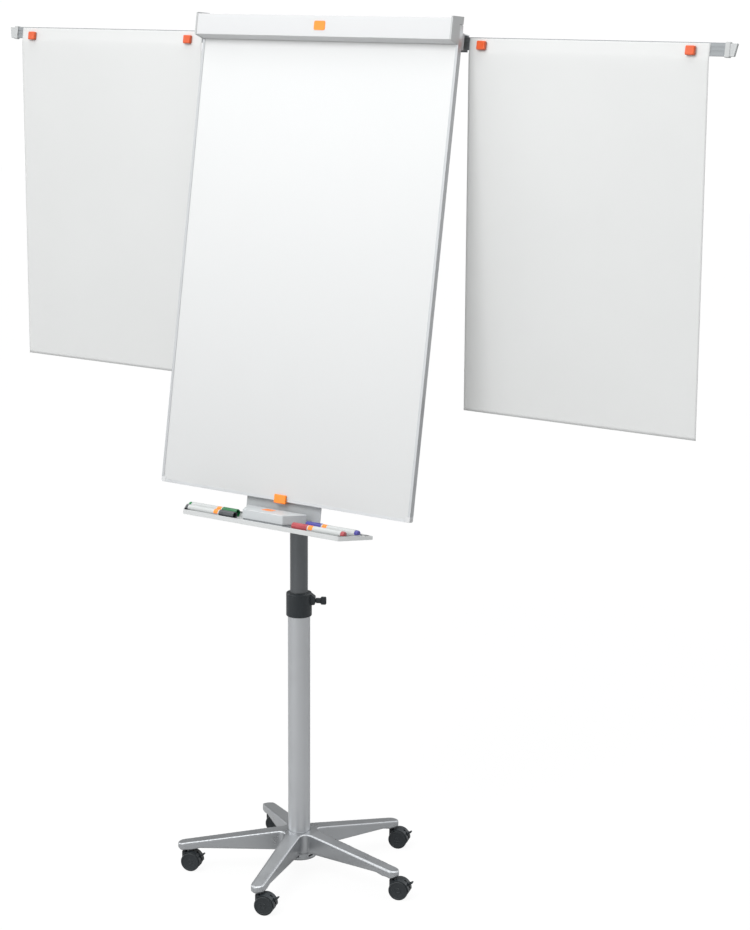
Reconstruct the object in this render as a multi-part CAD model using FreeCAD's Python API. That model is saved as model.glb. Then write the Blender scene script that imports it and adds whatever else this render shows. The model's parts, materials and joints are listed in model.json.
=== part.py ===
"""Mobile flipchart easel: five-castor star base, telescopic mast, tilting white board, pen tray,
pad clamp and two pull-out arms with hanging sheets.

Millimetres, +Z up. The origin is on the floor under the mast. The board faces -Y and +X is to the
right of somebody who looks at it.
"""

import FreeCAD, Part
import math
import os

V = FreeCAD.Vector

# ---- driving dimensions ---------------------------------------------------------------------

# star base
ARM_COUNT = 5
ARM_TURN = -1.1            # bearing of the first arm from +X
STEM_R = 264.3             # castor stems, from the mast axis
ARM_HALF_TIP = 15.5
ARM_HALF_HUB = 19.0
ARM_TOP_TIP = 67.0
ARM_UNDER = 54.5
BOSS_UNDER = 47.5
BELLY_UNDER = 50.5
HUB_R = 40.0
HUB_TOP = 100.0
HUB_UNDER = 37.0
TIP_BOSS_R = 12.0
WEB_R = 15.0               # fillet in plan between neighbouring arms

# castors
CASTOR_TURN = 20.0         # bearing in which the castors trail
TRAIL = 17.0
WHEEL_R = 22.0
WHEEL_IN = 5.2
WHEEL_OUT = 16.0
WEB_HALF = 4.9
AXLE_R = 3.0
RUN = 0.05                 # radial clearance of a running fit

# mast
LOWER_R = 25.2
LOWER_BORE = 22.7
LOWER_FOOT = 45.0
LOWER_TOP = 636.0
COLLAR_R = 29.0
COLLAR_FOOT = 609.2
COLLAR_TOP = 663.5
CLAMP_Z = 645.0
CLAMP_TURN = 30.0
UPPER_R = 20.1
UPPER_BORE = 17.6
UPPER_FOOT = 290.0
UPPER_TOP = 875.0

# board: x across, d into the board from its front face, h up along it from its lower edge
TILT = 9.42
BOARD_Y = -67.45
BOARD_Z = 885.63
BOARD_HALF = 345.0
BOARD_H = 1053.0
BOARD_T = 12.6
RAIL_LIP = 6.5
RAIL_WALL = 1.4
LIP_T = 1.0
CORNER = 12.0
PIVOT_Y = 0.0
PIVOT_Z = 900.0
PIN_R = 5.0

# pad clamp
BAR_HALF = 340.8
BAR_FRONT = -30.2
BAR_LOW = 1017.2
BAR_HIGH = 1062.9
HINGE_D = 5.5
HINGE_H = 1062.0
HINGE_R = 5.5
PEG_X = 140.0
PEG_H = 1038.0
PEG_R = 4.0

# pull-out arms and sheets
ARM_LOW = 1005.0
ARM_HIGH = 1031.5
ARM_T = 6.0
LEFT_D = 25.0
RIGHT_D = 41.0
LEFT_END = -971.0
RIGHT_END = 965.0
INNER_END = 236.0
GUIDE_IN = 228.0
GUIDE_OUT = 316.0
SHEET_T = 0.4
SHEET_W = 561.0
SHEET_TOP = 1029.8
LEFT_SHEET_X = -929.0
RIGHT_SHEET_X = 346.0
LEFT_SHEET_Z = 1102.8
RIGHT_SHEET_Z = 1099.0
MAGNET = 21.0
MAGNET_T = 9.2

# tray: x across, s back along its floor, l up from its underside
TRAY_TILT = 4.5
TRAY_Y = -146.4
TRAY_Z = 843.6
TRAY_FRONT = 215.0
TRAY_TIP = 259.0
TRAY_TIP_S = 66.0
TRAY_REAR = 103.0
TRAY_REAR_S = 84.4
TRAY_T = 2.0
TRAY_RIM = 8.5
TRAY_SKIRT = 1.8
PLATE_HALF = 103.0
MARKER_L = 139.0
MARKER_CAP = 41.0
MARKER_R = 8.5


# ---- helpers --------------------------------------------------------------------------------

def box(x0, x1, y0, y1, z0, z1):
    return Part.makeBox(x1 - x0, y1 - y0, z1 - z0, V(x0, y0, z0))


def rod(r, start, end):
    a = V(*start)
    b = V(*end)
    return Part.makeCylinder(r, (b - a).Length, a, b - a)


def tube(outer, inner, start, end):
    return rod(outer, start, end).cut(rod(inner, start, end))


def plate(points, direction):
    face = Part.Face(Part.makePolygon([V(*p) for p in points] + [V(*points[0])]))
    return face.extrude(V(*direction))


def side_section(points, x0, x1):
    """A (y, z) outline extruded along X."""
    return plate([(x0, y, z) for y, z in points], (x1 - x0, 0, 0))


def plan_section(points, z0, z1):
    """An (x, y) outline extruded along Z."""
    return plate([(x, y, z0) for x, y in points], (0, 0, z1 - z0))


def upright_section(points, y0, y1):
    """An (x, z) outline extruded along Y."""
    return plate([(x, y0, z) for x, z in points], (0, y1 - y0, 0))


def join(shapes):
    body = shapes[0]
    for s in shapes[1:]:
        body = body.fuse(s)
    return body.removeSplitter()


def vertical(e):
    a, b = e.Vertexes[0].Point, e.Vertexes[-1].Point
    return abs(a.x - b.x) + abs(a.y - b.y) < 1e-6 and abs(a.z - b.z) > 1e-6


def along_x(e):
    a, b = e.Vertexes[0].Point, e.Vertexes[-1].Point
    return abs(a.y - b.y) + abs(a.z - b.z) < 1e-6 and abs(a.x - b.x) > 1e-6


def along_y(e):
    a, b = e.Vertexes[0].Point, e.Vertexes[-1].Point
    return abs(a.x - b.x) + abs(a.z - b.z) < 1e-6 and abs(a.y - b.y) > 1e-6


def to_board(shape):
    s = shape.copy()
    s.rotate(V(0, 0, 0), V(1, 0, 0), -TILT)
    s.translate(V(0, BOARD_Y, BOARD_Z))
    return s


def to_tray(shape):
    s = shape.copy()
    s.rotate(V(0, 0, 0), V(1, 0, 0), -TRAY_TILT)
    s.translate(V(0, TRAY_Y, TRAY_Z))
    return s


def stem_place(k):
    turn = math.radians(ARM_TURN + k * 360.0 / ARM_COUNT)
    return STEM_R * math.cos(turn), STEM_R * math.sin(turn)


def to_castor(shape, k):
    x, y = stem_place(k)
    s = shape.copy()
    s.rotate(V(0, 0, 0), V(0, 0, 1), CASTOR_TURN)
    s.translate(V(x, y, 0))
    return s


def board_point(x, d, h):
    t = math.radians(TILT)
    return (x, BOARD_Y + d * math.cos(t) + h * math.sin(t), BOARD_Z - d * math.sin(t) + h * math.cos(t))


def save(name, shape):
    os.makedirs("parts", exist_ok=True)
    shape.exportStep("parts/%s.step" % name)


# ---- star base ------------------------------------------------------------------------------

def base_arm():
    """One arm along +X: level by the hub, then sloping; a belly at the tip holds the stem."""
    side = [
        (0, HUB_TOP),
        (HUB_R + 4, HUB_TOP),
        (STEM_R, ARM_TOP_TIP),
        (STEM_R + 20, ARM_TOP_TIP - 3),
        (STEM_R + 20, ARM_UNDER),
        (STEM_R + 9, BELLY_UNDER),
        (STEM_R - 17, BELLY_UNDER),
        (STEM_R - 33, ARM_UNDER),
        (0, ARM_UNDER),
    ]
    plan = [
        (0, -ARM_HALF_HUB),
        (STEM_R, -ARM_HALF_TIP),
        (STEM_R, ARM_HALF_TIP),
        (0, ARM_HALF_HUB),
    ]
    outline = plan_section(plan, 0, 150).fuse(rod(ARM_HALF_TIP, (STEM_R, 0, 0), (STEM_R, 0, 150)))
    boss = rod(TIP_BOSS_R, (STEM_R, 0, BOSS_UNDER), (STEM_R, 0, BELLY_UNDER + 2))
    return upright_section(side, -30, 30).common(outline.removeSplitter()).fuse(boss)


def arm_hollow():
    """The open underside of an arm and the socket for its castor stem."""
    end = STEM_R - 36
    side = [
        (34, BELLY_UNDER - 5),
        (34, HUB_TOP - 7),
        (46, HUB_TOP - 7),
        (end, ARM_TOP_TIP - 1.5),
        (end, BELLY_UNDER - 5),
    ]
    plan = [
        (34, 4.5 - ARM_HALF_HUB),
        (STEM_R, 4.0 - ARM_HALF_TIP),
        (STEM_R, ARM_HALF_TIP - 4.0),
        (34, ARM_HALF_HUB - 4.5),
    ]
    trough = upright_section(side, -30, 30).common(plan_section(plan, 0, 150))
    return trough.fuse(rod(5.0, (STEM_R, 0, 0), (STEM_R, 0, 60)))


def all_round(one):
    """Copies of an arm's shape at all five bearings."""
    copies = []
    for k in range(ARM_COUNT):
        turned = one.copy()
        turned.rotate(V(0, 0, 0), V(0, 0, 1), ARM_TURN + k * 360.0 / ARM_COUNT)
        copies.append(turned)
    return copies


def base_web():
    """Fills the corner between the first two arms with a fillet that touches both."""
    half = math.pi / ARM_COUNT
    away = (ARM_HALF_HUB - 0.6 + WEB_R) / math.sin(half)
    reach = away * math.cos(half)
    side = ARM_HALF_HUB - 0.8
    second = 2 * half
    centre = (away * math.cos(half), away * math.sin(half))
    outline = [
        (0, 0),
        (reach, side),
        centre,
        (reach * math.cos(second) + side * math.sin(second), reach * math.sin(second) - side * math.cos(second)),
    ]
    web = plan_section(outline, ARM_UNDER, HUB_TOP - 0.5)
    return web.cut(rod(WEB_R, (centre[0], centre[1], 0), (centre[0], centre[1], 150)))


def star_base():
    hub = rod(HUB_R, (0, 0, HUB_UNDER), (0, 0, HUB_TOP))
    body = join([hub] + all_round(base_arm()) + all_round(base_web()))
    for hollow in all_round(arm_hollow()):
        body = body.cut(hollow)
    body = body.cut(rod(LOWER_R, (0, 0, LOWER_FOOT), (0, 0, 200)))
    return body.cut(rod(9.0, (0, 0, 0), (0, 0, 60)))


def castor_stems():
    pins = []
    for k in range(ARM_COUNT):
        x, y = stem_place(k)
        pin = rod(3.25, (x, y, 24.6), (x, y, BOSS_UNDER))
        flange = rod(4.9, (x, y, 43.4), (x, y, BOSS_UNDER))
        shank = rod(5.0, (x, y, BOSS_UNDER), (x, y, 60.0))
        pins.append(join([pin, flange, shank]))
    return Part.makeCompound(pins)


# ---- castors, built with the stem on the Z axis and trailing along +X ----------------------

def ring_sector(outer, inner, half, from_deg, to_deg):
    """A piece of a ring about the wheel axle, between two angles up from +X."""
    ring = tube(outer, inner, (TRAIL, -half, WHEEL_R), (TRAIL, half, WHEEL_R))
    mid = math.radians((from_deg + to_deg) / 2)
    pie = [(TRAIL, WHEEL_R)]
    for a in (math.radians(from_deg), mid, math.radians(to_deg)):
        pie.append((TRAIL + 60 * math.cos(a), WHEEL_R + 60 * math.sin(a)))
    return ring.common(upright_section(pie, -30, 30))


def castor_hood():
    web = rod(19.5, (TRAIL, -WEB_HALF, WHEEL_R), (TRAIL, WEB_HALF, WHEEL_R))
    crest = ring_sector(24.6, 15.0, WEB_HALF, -4, 133)
    fender = ring_sector(24.6, 22.8, 15.2, -4, 133)
    neck = box(-5.2, 8.0, -WEB_HALF, WEB_HALF, 24.0, 43.2)
    body = join([web, crest, fender, neck])
    slot = ring_sector(30.0, 9.0, 3.0, 4, 62)
    body = body.cut(slot)
    body = body.cut(rod(3.25 + RUN, (0, 0, 20), (0, 0, 50)))
    body = body.cut(rod(AXLE_R + RUN, (TRAIL, -20, WHEEL_R), (TRAIL, 20, WHEEL_R)))
    return body.cut(rod(1.5 + RUN, (TRAIL + 12, -20, WHEEL_R + 7), (TRAIL + 12, 20, WHEEL_R + 7)))


def castor_wheels():
    sides = []
    for s in (-1, 1):
        disc = rod(WHEEL_R, (TRAIL, s * WHEEL_IN, WHEEL_R), (TRAIL, s * WHEEL_OUT, WHEEL_R))
        rim = [e for e in disc.Edges if e.Closed]
        disc = disc.makeFillet(1.2, rim)
        face = WHEEL_OUT - 1.2
        dish = tube(17.5, 6.0, (TRAIL, s * face, WHEEL_R), (TRAIL, s * (WHEEL_OUT + 1), WHEEL_R))
        sides.append(disc.cut(dish))
    axle = rod(AXLE_R, (TRAIL, -WHEEL_OUT + 2, WHEEL_R), (TRAIL, WHEEL_OUT - 2, WHEEL_R))
    return join(sides + [axle])


def castor_brake():
    outline = [
        (TRAIL + 9.5, WHEEL_R + 4.5),
        (TRAIL + 15.0, WHEEL_R + 4.0),
        (TRAIL + 24.5, WHEEL_R + 9.0),
        (TRAIL + 24.0, WHEEL_R + 16.0),
        (TRAIL + 14.0, WHEEL_R + 18.0),
        (TRAIL + 9.5, WHEEL_R + 10.5),
    ]
    lever = upright_section(outline, -2.7, 2.7)
    tab = [
        (TRAIL + 22.0, WHEEL_R + 12.2),
        (TRAIL + 31.5, WHEEL_R + 17.6),
        (TRAIL + 30.2, WHEEL_R + 20.0),
        (TRAIL + 20.4, WHEEL_R + 15.4),
    ]
    pedal = upright_section(tab, -5.5, 5.5)
    pedal = pedal.cut(rod(24.8, (TRAIL, -20, WHEEL_R), (TRAIL, 20, WHEEL_R)))
    neck = upright_section(tab, -2.7, 2.7)
    pin = rod(1.5, (TRAIL + 12, -WEB_HALF, WHEEL_R + 7), (TRAIL + 12, WEB_HALF, WHEEL_R + 7))
    return join([lever, neck, pedal, pin])


# ---- mast -----------------------------------------------------------------------------------

def column_lower():
    return tube(LOWER_R, LOWER_BORE, (0, 0, LOWER_FOOT), (0, 0, LOWER_TOP))


def guide_bush():
    sleeve = rod(LOWER_BORE, (0, 0, 540), (0, 0, LOWER_TOP))
    flange = rod(23.4, (0, 0, LOWER_TOP), (0, 0, 652))
    body = sleeve.fuse(flange).cut(rod(UPPER_R + RUN, (0, 0, 500), (0, 0, 700)))
    return body.cut(clamp_bore(4.6))


def clamp_line(a, b):
    t = math.radians(CLAMP_TURN)
    return (a * math.cos(t), a * math.sin(t), CLAMP_Z), (b * math.cos(t), b * math.sin(t), CLAMP_Z)


def clamp_bore(r):
    return rod(r, *clamp_line(0, 60))


def collar():
    body = rod(COLLAR_R, (0, 0, COLLAR_FOOT), (0, 0, COLLAR_TOP))
    rings = [e for e in body.Edges if e.Closed]
    body = body.makeFillet(2.5, rings)
    crown = COLLAR_TOP - 0.5
    boss = upright_section([(15, 633.0), (37, 637.0), (37, 653.5), (25, crown), (15, crown)], -9, 9)
    boss = boss.makeFillet(2.0, [e for e in boss.Edges if along_y(e) and e.BoundBox.XMin > 30])
    boss.rotate(V(0, 0, 0), V(0, 0, 1), CLAMP_TURN)
    body = body.fuse(boss)
    body = body.cut(rod(LOWER_R, (0, 0, 600), (0, 0, LOWER_TOP)))
    body = body.cut(rod(23.4, (0, 0, LOWER_TOP), (0, 0, 652)))
    body = body.cut(rod(UPPER_R + 0.6, (0, 0, 652), (0, 0, 700)))
    return body.cut(clamp_bore(4.0 + RUN))


def clamp_lever():
    """Built with the screw along +X, then turned to its place."""
    z = CLAMP_Z
    screw = rod(4.0, (UPPER_R + 0.3, 0, z), (42, 0, z))
    hub = rod(6.2, (38.5, 0, z), (50, 0, z))
    hub = hub.makeFillet(1.5, [e for e in hub.Edges if e.Closed])
    wing = box(49, 62, -4.5, 4.5, z - 9, z + 9)
    wing = wing.makeFillet(3.0, wing.Edges)
    neck = box(46, 56, -3.5, 3.5, z - 5, z + 5)
    body = join([screw, hub, neck, wing])
    body.rotate(V(0, 0, z), V(0, 0, 1), CLAMP_TURN)
    return body


def mast_foot():
    shoe = rod(LOWER_BORE - RUN, (0, 0, UPPER_FOOT - 22), (0, 0, UPPER_FOOT))
    spigot = rod(UPPER_BORE - RUN, (0, 0, UPPER_FOOT), (0, 0, UPPER_FOOT + 30))
    return join([shoe, spigot])


def column_upper():
    return tube(UPPER_R, UPPER_BORE, (0, 0, UPPER_FOOT), (0, 0, UPPER_TOP))


# ---- tilting head ---------------------------------------------------------------------------

def head_bracket():
    socket = rod(26, (0, 0, 842), (0, 0, 881))
    socket = socket.makeFillet(2.0, [e for e in socket.Edges if e.Closed])
    shapes = [socket]
    for s in (-1, 1):
        outline = [(-15, 868), (15, 868), (15, PIVOT_Z), (-15, PIVOT_Z)]
        cheek = side_section(outline, *sorted((s * 16.2, s * 24)))
        top = rod(15, (s * 16.2, PIVOT_Y, PIVOT_Z), (s * 24, PIVOT_Y, PIVOT_Z))
        shapes.append(cheek.fuse(top))
    body = join(shapes)
    body = body.cut(rod(UPPER_R, (0, 0, 800), (0, 0, UPPER_TOP)))
    return body.cut(rod(PIN_R + RUN, (-60, PIVOT_Y, PIVOT_Z), (60, PIVOT_Y, PIVOT_Z)))


def board_bracket():
    """Back of the board to the pivot, in world position."""
    pad = to_board(box(-44, 44, BOARD_T + 2.0, BOARD_T + 5.0, 2, 56))
    t = math.radians(TILT)
    d = (PIVOT_Y - BOARD_Y) * math.cos(t) - (PIVOT_Z - BOARD_Z) * math.sin(t)
    h = (PIVOT_Y - BOARD_Y) * math.sin(t) + (PIVOT_Z - BOARD_Z) * math.cos(t)
    outline = [(BOARD_T + 5.0, h - 19), (d, h - 12), (d, h + 12), (BOARD_T + 5.0, h + 24)]
    lug = to_board(side_section(outline, -16, 16))
    eye = rod(12, (-16, PIVOT_Y, PIVOT_Z), (16, PIVOT_Y, PIVOT_Z))
    body = join([pad, lug, eye])
    return body.cut(rod(PIN_R, (-60, PIVOT_Y, PIVOT_Z), (60, PIVOT_Y, PIVOT_Z)))


def pivot_pin():
    pin = rod(PIN_R, (-26, PIVOT_Y, PIVOT_Z), (44, PIVOT_Y, PIVOT_Z))
    head = rod(8.5, (-30, PIVOT_Y, PIVOT_Z), (-25, PIVOT_Y, PIVOT_Z))
    return join([head, pin])


def tilt_knob():
    disc = rod(15, (26, PIVOT_Y, PIVOT_Z), (41, PIVOT_Y, PIVOT_Z))
    disc = disc.makeFillet(2.0, [e for e in disc.Edges if e.Closed])
    lobes = []
    for k in range(6):
        a = math.radians(60 * k)
        y = PIVOT_Y + 18.5 * math.cos(a)
        z = PIVOT_Z + 18.5 * math.sin(a)
        lobes.append(rod(4.2, (20, y, z), (50, y, z)))
    body = disc.cut(Part.makeCompound(lobes))
    return body.cut(rod(PIN_R + RUN, (20, PIVOT_Y, PIVOT_Z), (50, PIVOT_Y, PIVOT_Z)))


def back_plate():
    body = box(-PLATE_HALF, PLATE_HALF, BOARD_T, BOARD_T + 2.0, -45, 118)
    body = body.makeFillet(4.0, [e for e in body.Edges if along_y(e)])
    return to_board(body)


# ---- board ----------------------------------------------------------------------------------

def frame_side(s):
    z0, z1 = CORNER, BOARD_H - CORNER
    outer = box(BOARD_HALF - RAIL_LIP, BOARD_HALF, 0, BOARD_T, z0, z1)
    hollow = box(BOARD_HALF - RAIL_LIP - 1, BOARD_HALF - RAIL_WALL, LIP_T, BOARD_T - LIP_T, z0, z1)
    body = outer.cut(hollow)
    return body if s > 0 else body.mirror(V(0, 0, 0), V(1, 0, 0))


def frame_sides():
    return Part.makeCompound([to_board(frame_side(-1)), to_board(frame_side(1))])


def frame_top():
    x = BOARD_HALF - CORNER
    outer = box(-x, x, 0, BOARD_T, BOARD_H - RAIL_LIP, BOARD_H)
    hollow = box(-x, x, LIP_T, BOARD_T - LIP_T, BOARD_H - RAIL_LIP - 1, BOARD_H - RAIL_WALL)
    return to_board(outer.cut(hollow))


def frame_bottom():
    x = BOARD_HALF - CORNER
    outer = box(-x, x, 0, BOARD_T, 0, RAIL_LIP)
    hollow = box(-x, x, LIP_T, BOARD_T - LIP_T, 3.3, RAIL_LIP + 1)
    mouth = box(-x, x, 5.3, 7.3, -1, 2)
    groove = box(-x, x, 4.3, 8.3, 1.2, 2.4)
    return to_board(outer.cut(hollow).cut(mouth).cut(groove))


def corner_cap(sx, top):
    """One rounded corner piece; the rounded edge is the one at the board's own corner."""
    x0, x1 = sorted((sx * (BOARD_HALF - CORNER), sx * BOARD_HALF))
    z0, z1 = (BOARD_H - CORNER, BOARD_H) if top else (0, CORNER)
    corner = V(sx * BOARD_HALF, 0, BOARD_H if top else 0)
    cap = box(x0, x1, 0, BOARD_T, z0, z1)
    outer = [e for e in cap.Edges if along_y(e) and min((v.Point - corner).Length for v in e.Vertexes) < 0.01]
    return to_board(cap.makeFillet(4.0, outer))


def corner_caps():
    return Part.makeCompound([corner_cap(sx, top) for sx in (-1, 1) for top in (False, True)])


def panel(d0, d1):
    x = BOARD_HALF - RAIL_WALL
    low, high = 3.3, BOARD_H - RAIL_WALL
    cut_x = BOARD_HALF - CORNER
    cut_low, cut_high = CORNER, BOARD_H - CORNER
    outline = [
        (-cut_x, low), (cut_x, low), (cut_x, cut_low), (x, cut_low),
        (x, cut_high), (cut_x, cut_high), (cut_x, high), (-cut_x, high),
        (-cut_x, cut_high), (-x, cut_high), (-x, cut_low), (-cut_x, cut_low),
    ]
    return to_board(upright_section(outline, d0, d1))


def pad_clip():
    front = box(-16, 16, -5, -0.1, -5, 14.5)
    front = front.makeFillet(2.0, [e for e in front.Edges if e.BoundBox.YMax < -4.9 or along_y(e)])
    sole = box(-15, 15, -1.5, BOARD_T - 0.3, -3.2, -0.1)
    stem = box(-12, 12, 5.4, 7.2, -1, 1.4)
    tee = box(-12, 12, 4.4, 8.2, 1.3, 2.3)
    return to_board(join([front, sole, stem, tee]))


# ---- pad clamp ------------------------------------------------------------------------------

def clamp_rail():
    back = box(-338, 338, -6, 0, 1020, BOARD_H)
    slot = box(-330, 330, -4.4, -1.2, PEG_H - 8, PEG_H + 8)
    mouth = box(-330, 330, -7, -4.0, PEG_H - 5, PEG_H + 5)
    return to_board(back.cut(slot).cut(mouth))


def clamp_bar():
    shell = [
        (BAR_FRONT, BAR_LOW), (-2.5, 1010.6), (-2.0, 1012.6), (BAR_FRONT + 2.0, BAR_LOW + 1.9),
        (BAR_FRONT + 2.0, BAR_HIGH - 2.2), (HINGE_D, HINGE_H + HINGE_R - 2.2),
        (HINGE_D, HINGE_H + HINGE_R), (BAR_FRONT, BAR_HIGH),
    ]
    body = side_section(shell, -BAR_HALF, BAR_HALF)
    body = body.makeFillet(0.8, [e for e in body.Edges if along_x(e) and e.BoundBox.YMax < BAR_FRONT + 0.01])
    barrel = rod(HINGE_R, (-BAR_HALF, HINGE_D, HINGE_H), (BAR_HALF, HINGE_D, HINGE_H))
    body = join([body, barrel])
    bore = rod(3.0 + RUN, (-BAR_HALF, HINGE_D, HINGE_H), (BAR_HALF, HINGE_D, HINGE_H))
    return to_board(body.cut(bore))


def clamp_ends():
    """Cheeks that close the clamp's ends; each carries half of the hinge rod."""
    outline = [
        (BAR_FRONT - 0.6, BAR_LOW - 0.6), (-1.0, 1009.8), (-0.2, 1012.0), (-0.2, BOARD_H + 0.2),
        (11.0, BOARD_H + 0.2), (11.0, HINGE_H + HINGE_R + 2.2), (BAR_FRONT - 0.6, BAR_HIGH + 3.2),
    ]
    ends = []
    for s in (-1, 1):
        x0, x1 = sorted((s * (BAR_HALF + 0.2), s * (BOARD_HALF + 0.4)))
        cheek = side_section(outline, x0, x1)
        pin = rod(3.0, (s * (BAR_HALF + 1), HINGE_D, HINGE_H), (s * (BAR_HALF - 40), HINGE_D, HINGE_H))
        arm = side_section([(-5.9, 1042), (-0.2, 1042), (-0.2, BOARD_H), (-5.9, BOARD_H)],
                           *sorted((s * 338, s * (BAR_HALF + 1))))
        ends.append(to_board(join([cheek, pin, arm])))
    return Part.makeCompound(ends)


def badge():
    body = box(-13, 17, BAR_FRONT - 1.0, BAR_FRONT, 1030.9, 1051.1)
    return to_board(body.makeFillet(4.0, [e for e in body.Edges if along_y(e)]))


def pad_peg(x):
    foot = box(x - 11, x + 11, -4.3, -1.3, PEG_H - 7.9, PEG_H + 7.9)
    neck = box(x - 11, x + 11, -6.6, -4.2, PEG_H - 4.9, PEG_H + 4.9)
    head = rod(8.0, (x, -8.6, PEG_H), (x, -6.5, PEG_H))
    pin = rod(PEG_R, (x, -24.6, PEG_H), (x, -6.5, PEG_H))
    pin = pin.makeFillet(1.6, [e for e in pin.Edges if e.Closed and e.BoundBox.YMax < -24])
    return to_board(join([foot, neck, head, pin]))


# ---- pull-out arms --------------------------------------------------------------------------

def arm_housing():
    """Extrusion behind the top of the board; open below so that hung sheets can pass."""
    flange = box(-330, 330, BOARD_T, BOARD_T + 1.3, 1025, BOARD_H - 2)
    roof = box(-330, 330, BOARD_T, 62, 1036, 1038.5)
    rear = box(-330, 330, 59.5, 62, 1002, 1038.5)
    return to_board(join([flange, roof, rear]))


def guide_block(x0, x1, d):
    """Holds the arm whose back is at d by the tee rib along its back."""
    body = box(x0, x1, d + 0.1, d + 9.4, 1001, 1036)
    throat = box(x0 - 1, x1 + 1, d - 1, d + 3.2, 1025.9, 1029.1)
    slot = box(x0 - 1, x1 + 1, d + 2.9, d + 5.1, 1024.4, 1030.6)
    return body.cut(throat).cut(slot)


def arm_guides():
    """A guide for each arm under the housing's roof, and a block that closes the housing's front end."""
    solids = []
    for s, arm_d, end_d in ((-1, LEFT_D, 15.0), (1, RIGHT_D, 21.0)):
        back = arm_d + ARM_T
        x0, x1 = sorted((s * GUIDE_IN, s * GUIDE_OUT))
        bridge = box(x0, x1, back + 0.1, back + 12.5, 1032.5, 1036)
        solids.append(to_board(join([guide_block(x0, x1, back), bridge])))
        x2, x3 = sorted((s * 331, s * (BOARD_HALF - 0.5)))
        solids.append(to_board(box(x2, x3, BOARD_T, end_d, 1001, 1036)))
    return Part.makeCompound(solids)


def pull_arm(x0, x1, d):
    back = d + ARM_T
    bar = box(x0, x1, d, back, ARM_LOW, ARM_HIGH)
    rib_x0, rib_x1 = x0, x1
    if x0 < -600:
        rib_x0 = x0 + 40
    else:
        rib_x1 = x1 - 40
    throat = box(rib_x0, rib_x1, back - 0.5, back + 3.1, 1026, 1029)
    head = box(rib_x0, rib_x1, back + 3.0, back + 5.0, 1024.5, 1030.5)
    body = join([bar, throat, head])
    for h in (1010.5, 1018.5):
        body = body.cut(box(x0 - 1, x1 + 1, d - 1, d + 0.6, h, h + 4.5))
    return to_board(body)


def arm_cap(tip, s, d):
    """End grip: a collar around the arm and a raked tip outside it."""
    inner = tip - s * 25.5
    shoulder = tip - s * 14.5
    x0, x1 = sorted((inner, shoulder))
    collar_box = box(x0, x1, d - 1.6, d + ARM_T + 1.6, 1002.6, 1033.4)
    collar_box = collar_box.makeFillet(1.2, collar_box.Edges)
    root = shoulder - s * 2
    brow = ARM_HIGH - 1.2
    rake = [(root, ARM_LOW), (tip - s * 5, ARM_LOW), (tip, brow), (root, brow)]
    nose = upright_section(rake, d - 0.4, d + ARM_T + 0.4)
    body = join([collar_box, nose])
    x2, x3 = sorted((inner - s * 5, shoulder - s * 1))
    return to_board(body.cut(box(x2, x3, d, d + ARM_T, ARM_LOW, ARM_HIGH)))


def hung_sheet(x0, foot_z, d):
    """Flat against the arm's front, then straight down from the arm's lower edge."""
    top = to_board(box(x0, x0 + SHEET_W, d - SHEET_T, d, ARM_LOW, SHEET_TOP))
    bend = board_point(0, d - SHEET_T, ARM_LOW)
    y = bend[1]
    z = board_point(0, d, ARM_LOW)[2]
    drop = box(x0, x0 + SHEET_W, y, y + SHEET_T, foot_z, z)
    knee = to_board(box(x0, x0 + SHEET_W, d - SHEET_T, d, ARM_LOW - 0.4, ARM_LOW))
    return join([top, knee, drop])


def magnet_pair(xs, d, h):
    blocks = []
    for x in xs:
        body = box(x - MAGNET / 2, x + MAGNET / 2, d - SHEET_T - MAGNET_T, d - SHEET_T, h - 9.5, h + 9.5)
        body = body.makeFillet(4.0, [e for e in body.Edges if along_y(e)])
        blocks.append(to_board(body))
    return Part.makeCompound(blocks)


# ---- tray -----------------------------------------------------------------------------------

def tray_outline(inset):
    return [
        (-TRAY_FRONT + inset * 0.5, inset), (TRAY_FRONT - inset * 0.5, inset),
        (TRAY_TIP - inset * 1.4, TRAY_TIP_S), (TRAY_REAR, TRAY_REAR_S - inset),
        (-TRAY_REAR, TRAY_REAR_S - inset), (-TRAY_TIP + inset * 1.4, TRAY_TIP_S),
    ]


def tray():
    """Its front wall reaches below the floor; the underside rises from there towards the back."""
    body = plan_section(tray_outline(0), -TRAY_SKIRT, TRAY_RIM)
    body = body.makeFillet(5.0, [e for e in body.Edges if vertical(e) and e.BoundBox.YMin < 1])
    hollow = plan_section(tray_outline(2.0), TRAY_T, TRAY_RIM + 5)
    under = [(-1, -TRAY_SKIRT - 1), (0, -TRAY_SKIRT), (95, 1.5), (95, -TRAY_SKIRT - 1)]
    body = to_tray(body.cut(hollow).cut(side_section(under, -400, 400)))
    return body.cut(to_board(box(-400, 400, BOARD_T, 60, -120, 60)))


def eraser(l0, l1, inset):
    outline = [
        (-55.5 + inset, 11.3 + inset), (55.5 - inset, 11.3 + inset),
        (83 - 1.2 * inset, 66 - inset), (-83 + 1.2 * inset, 66 - inset),
    ]
    body = plan_section(outline, l0, l1)
    return body.makeFillet(3.0, [e for e in body.Edges if vertical(e)])


def eraser_body():
    body = eraser(10.0, 30.0, 0)
    top = [e for e in body.Edges if e.BoundBox.ZMin > 29.9]
    body = body.makeFillet(1.5, top)
    return to_tray(body.cut(eraser_label_solid()))


def eraser_label_solid():
    body = box(-24, 4, 37, 57, 29.2, 30.1)
    return body.makeFillet(3.0, [e for e in body.Edges if vertical(e)])


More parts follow.
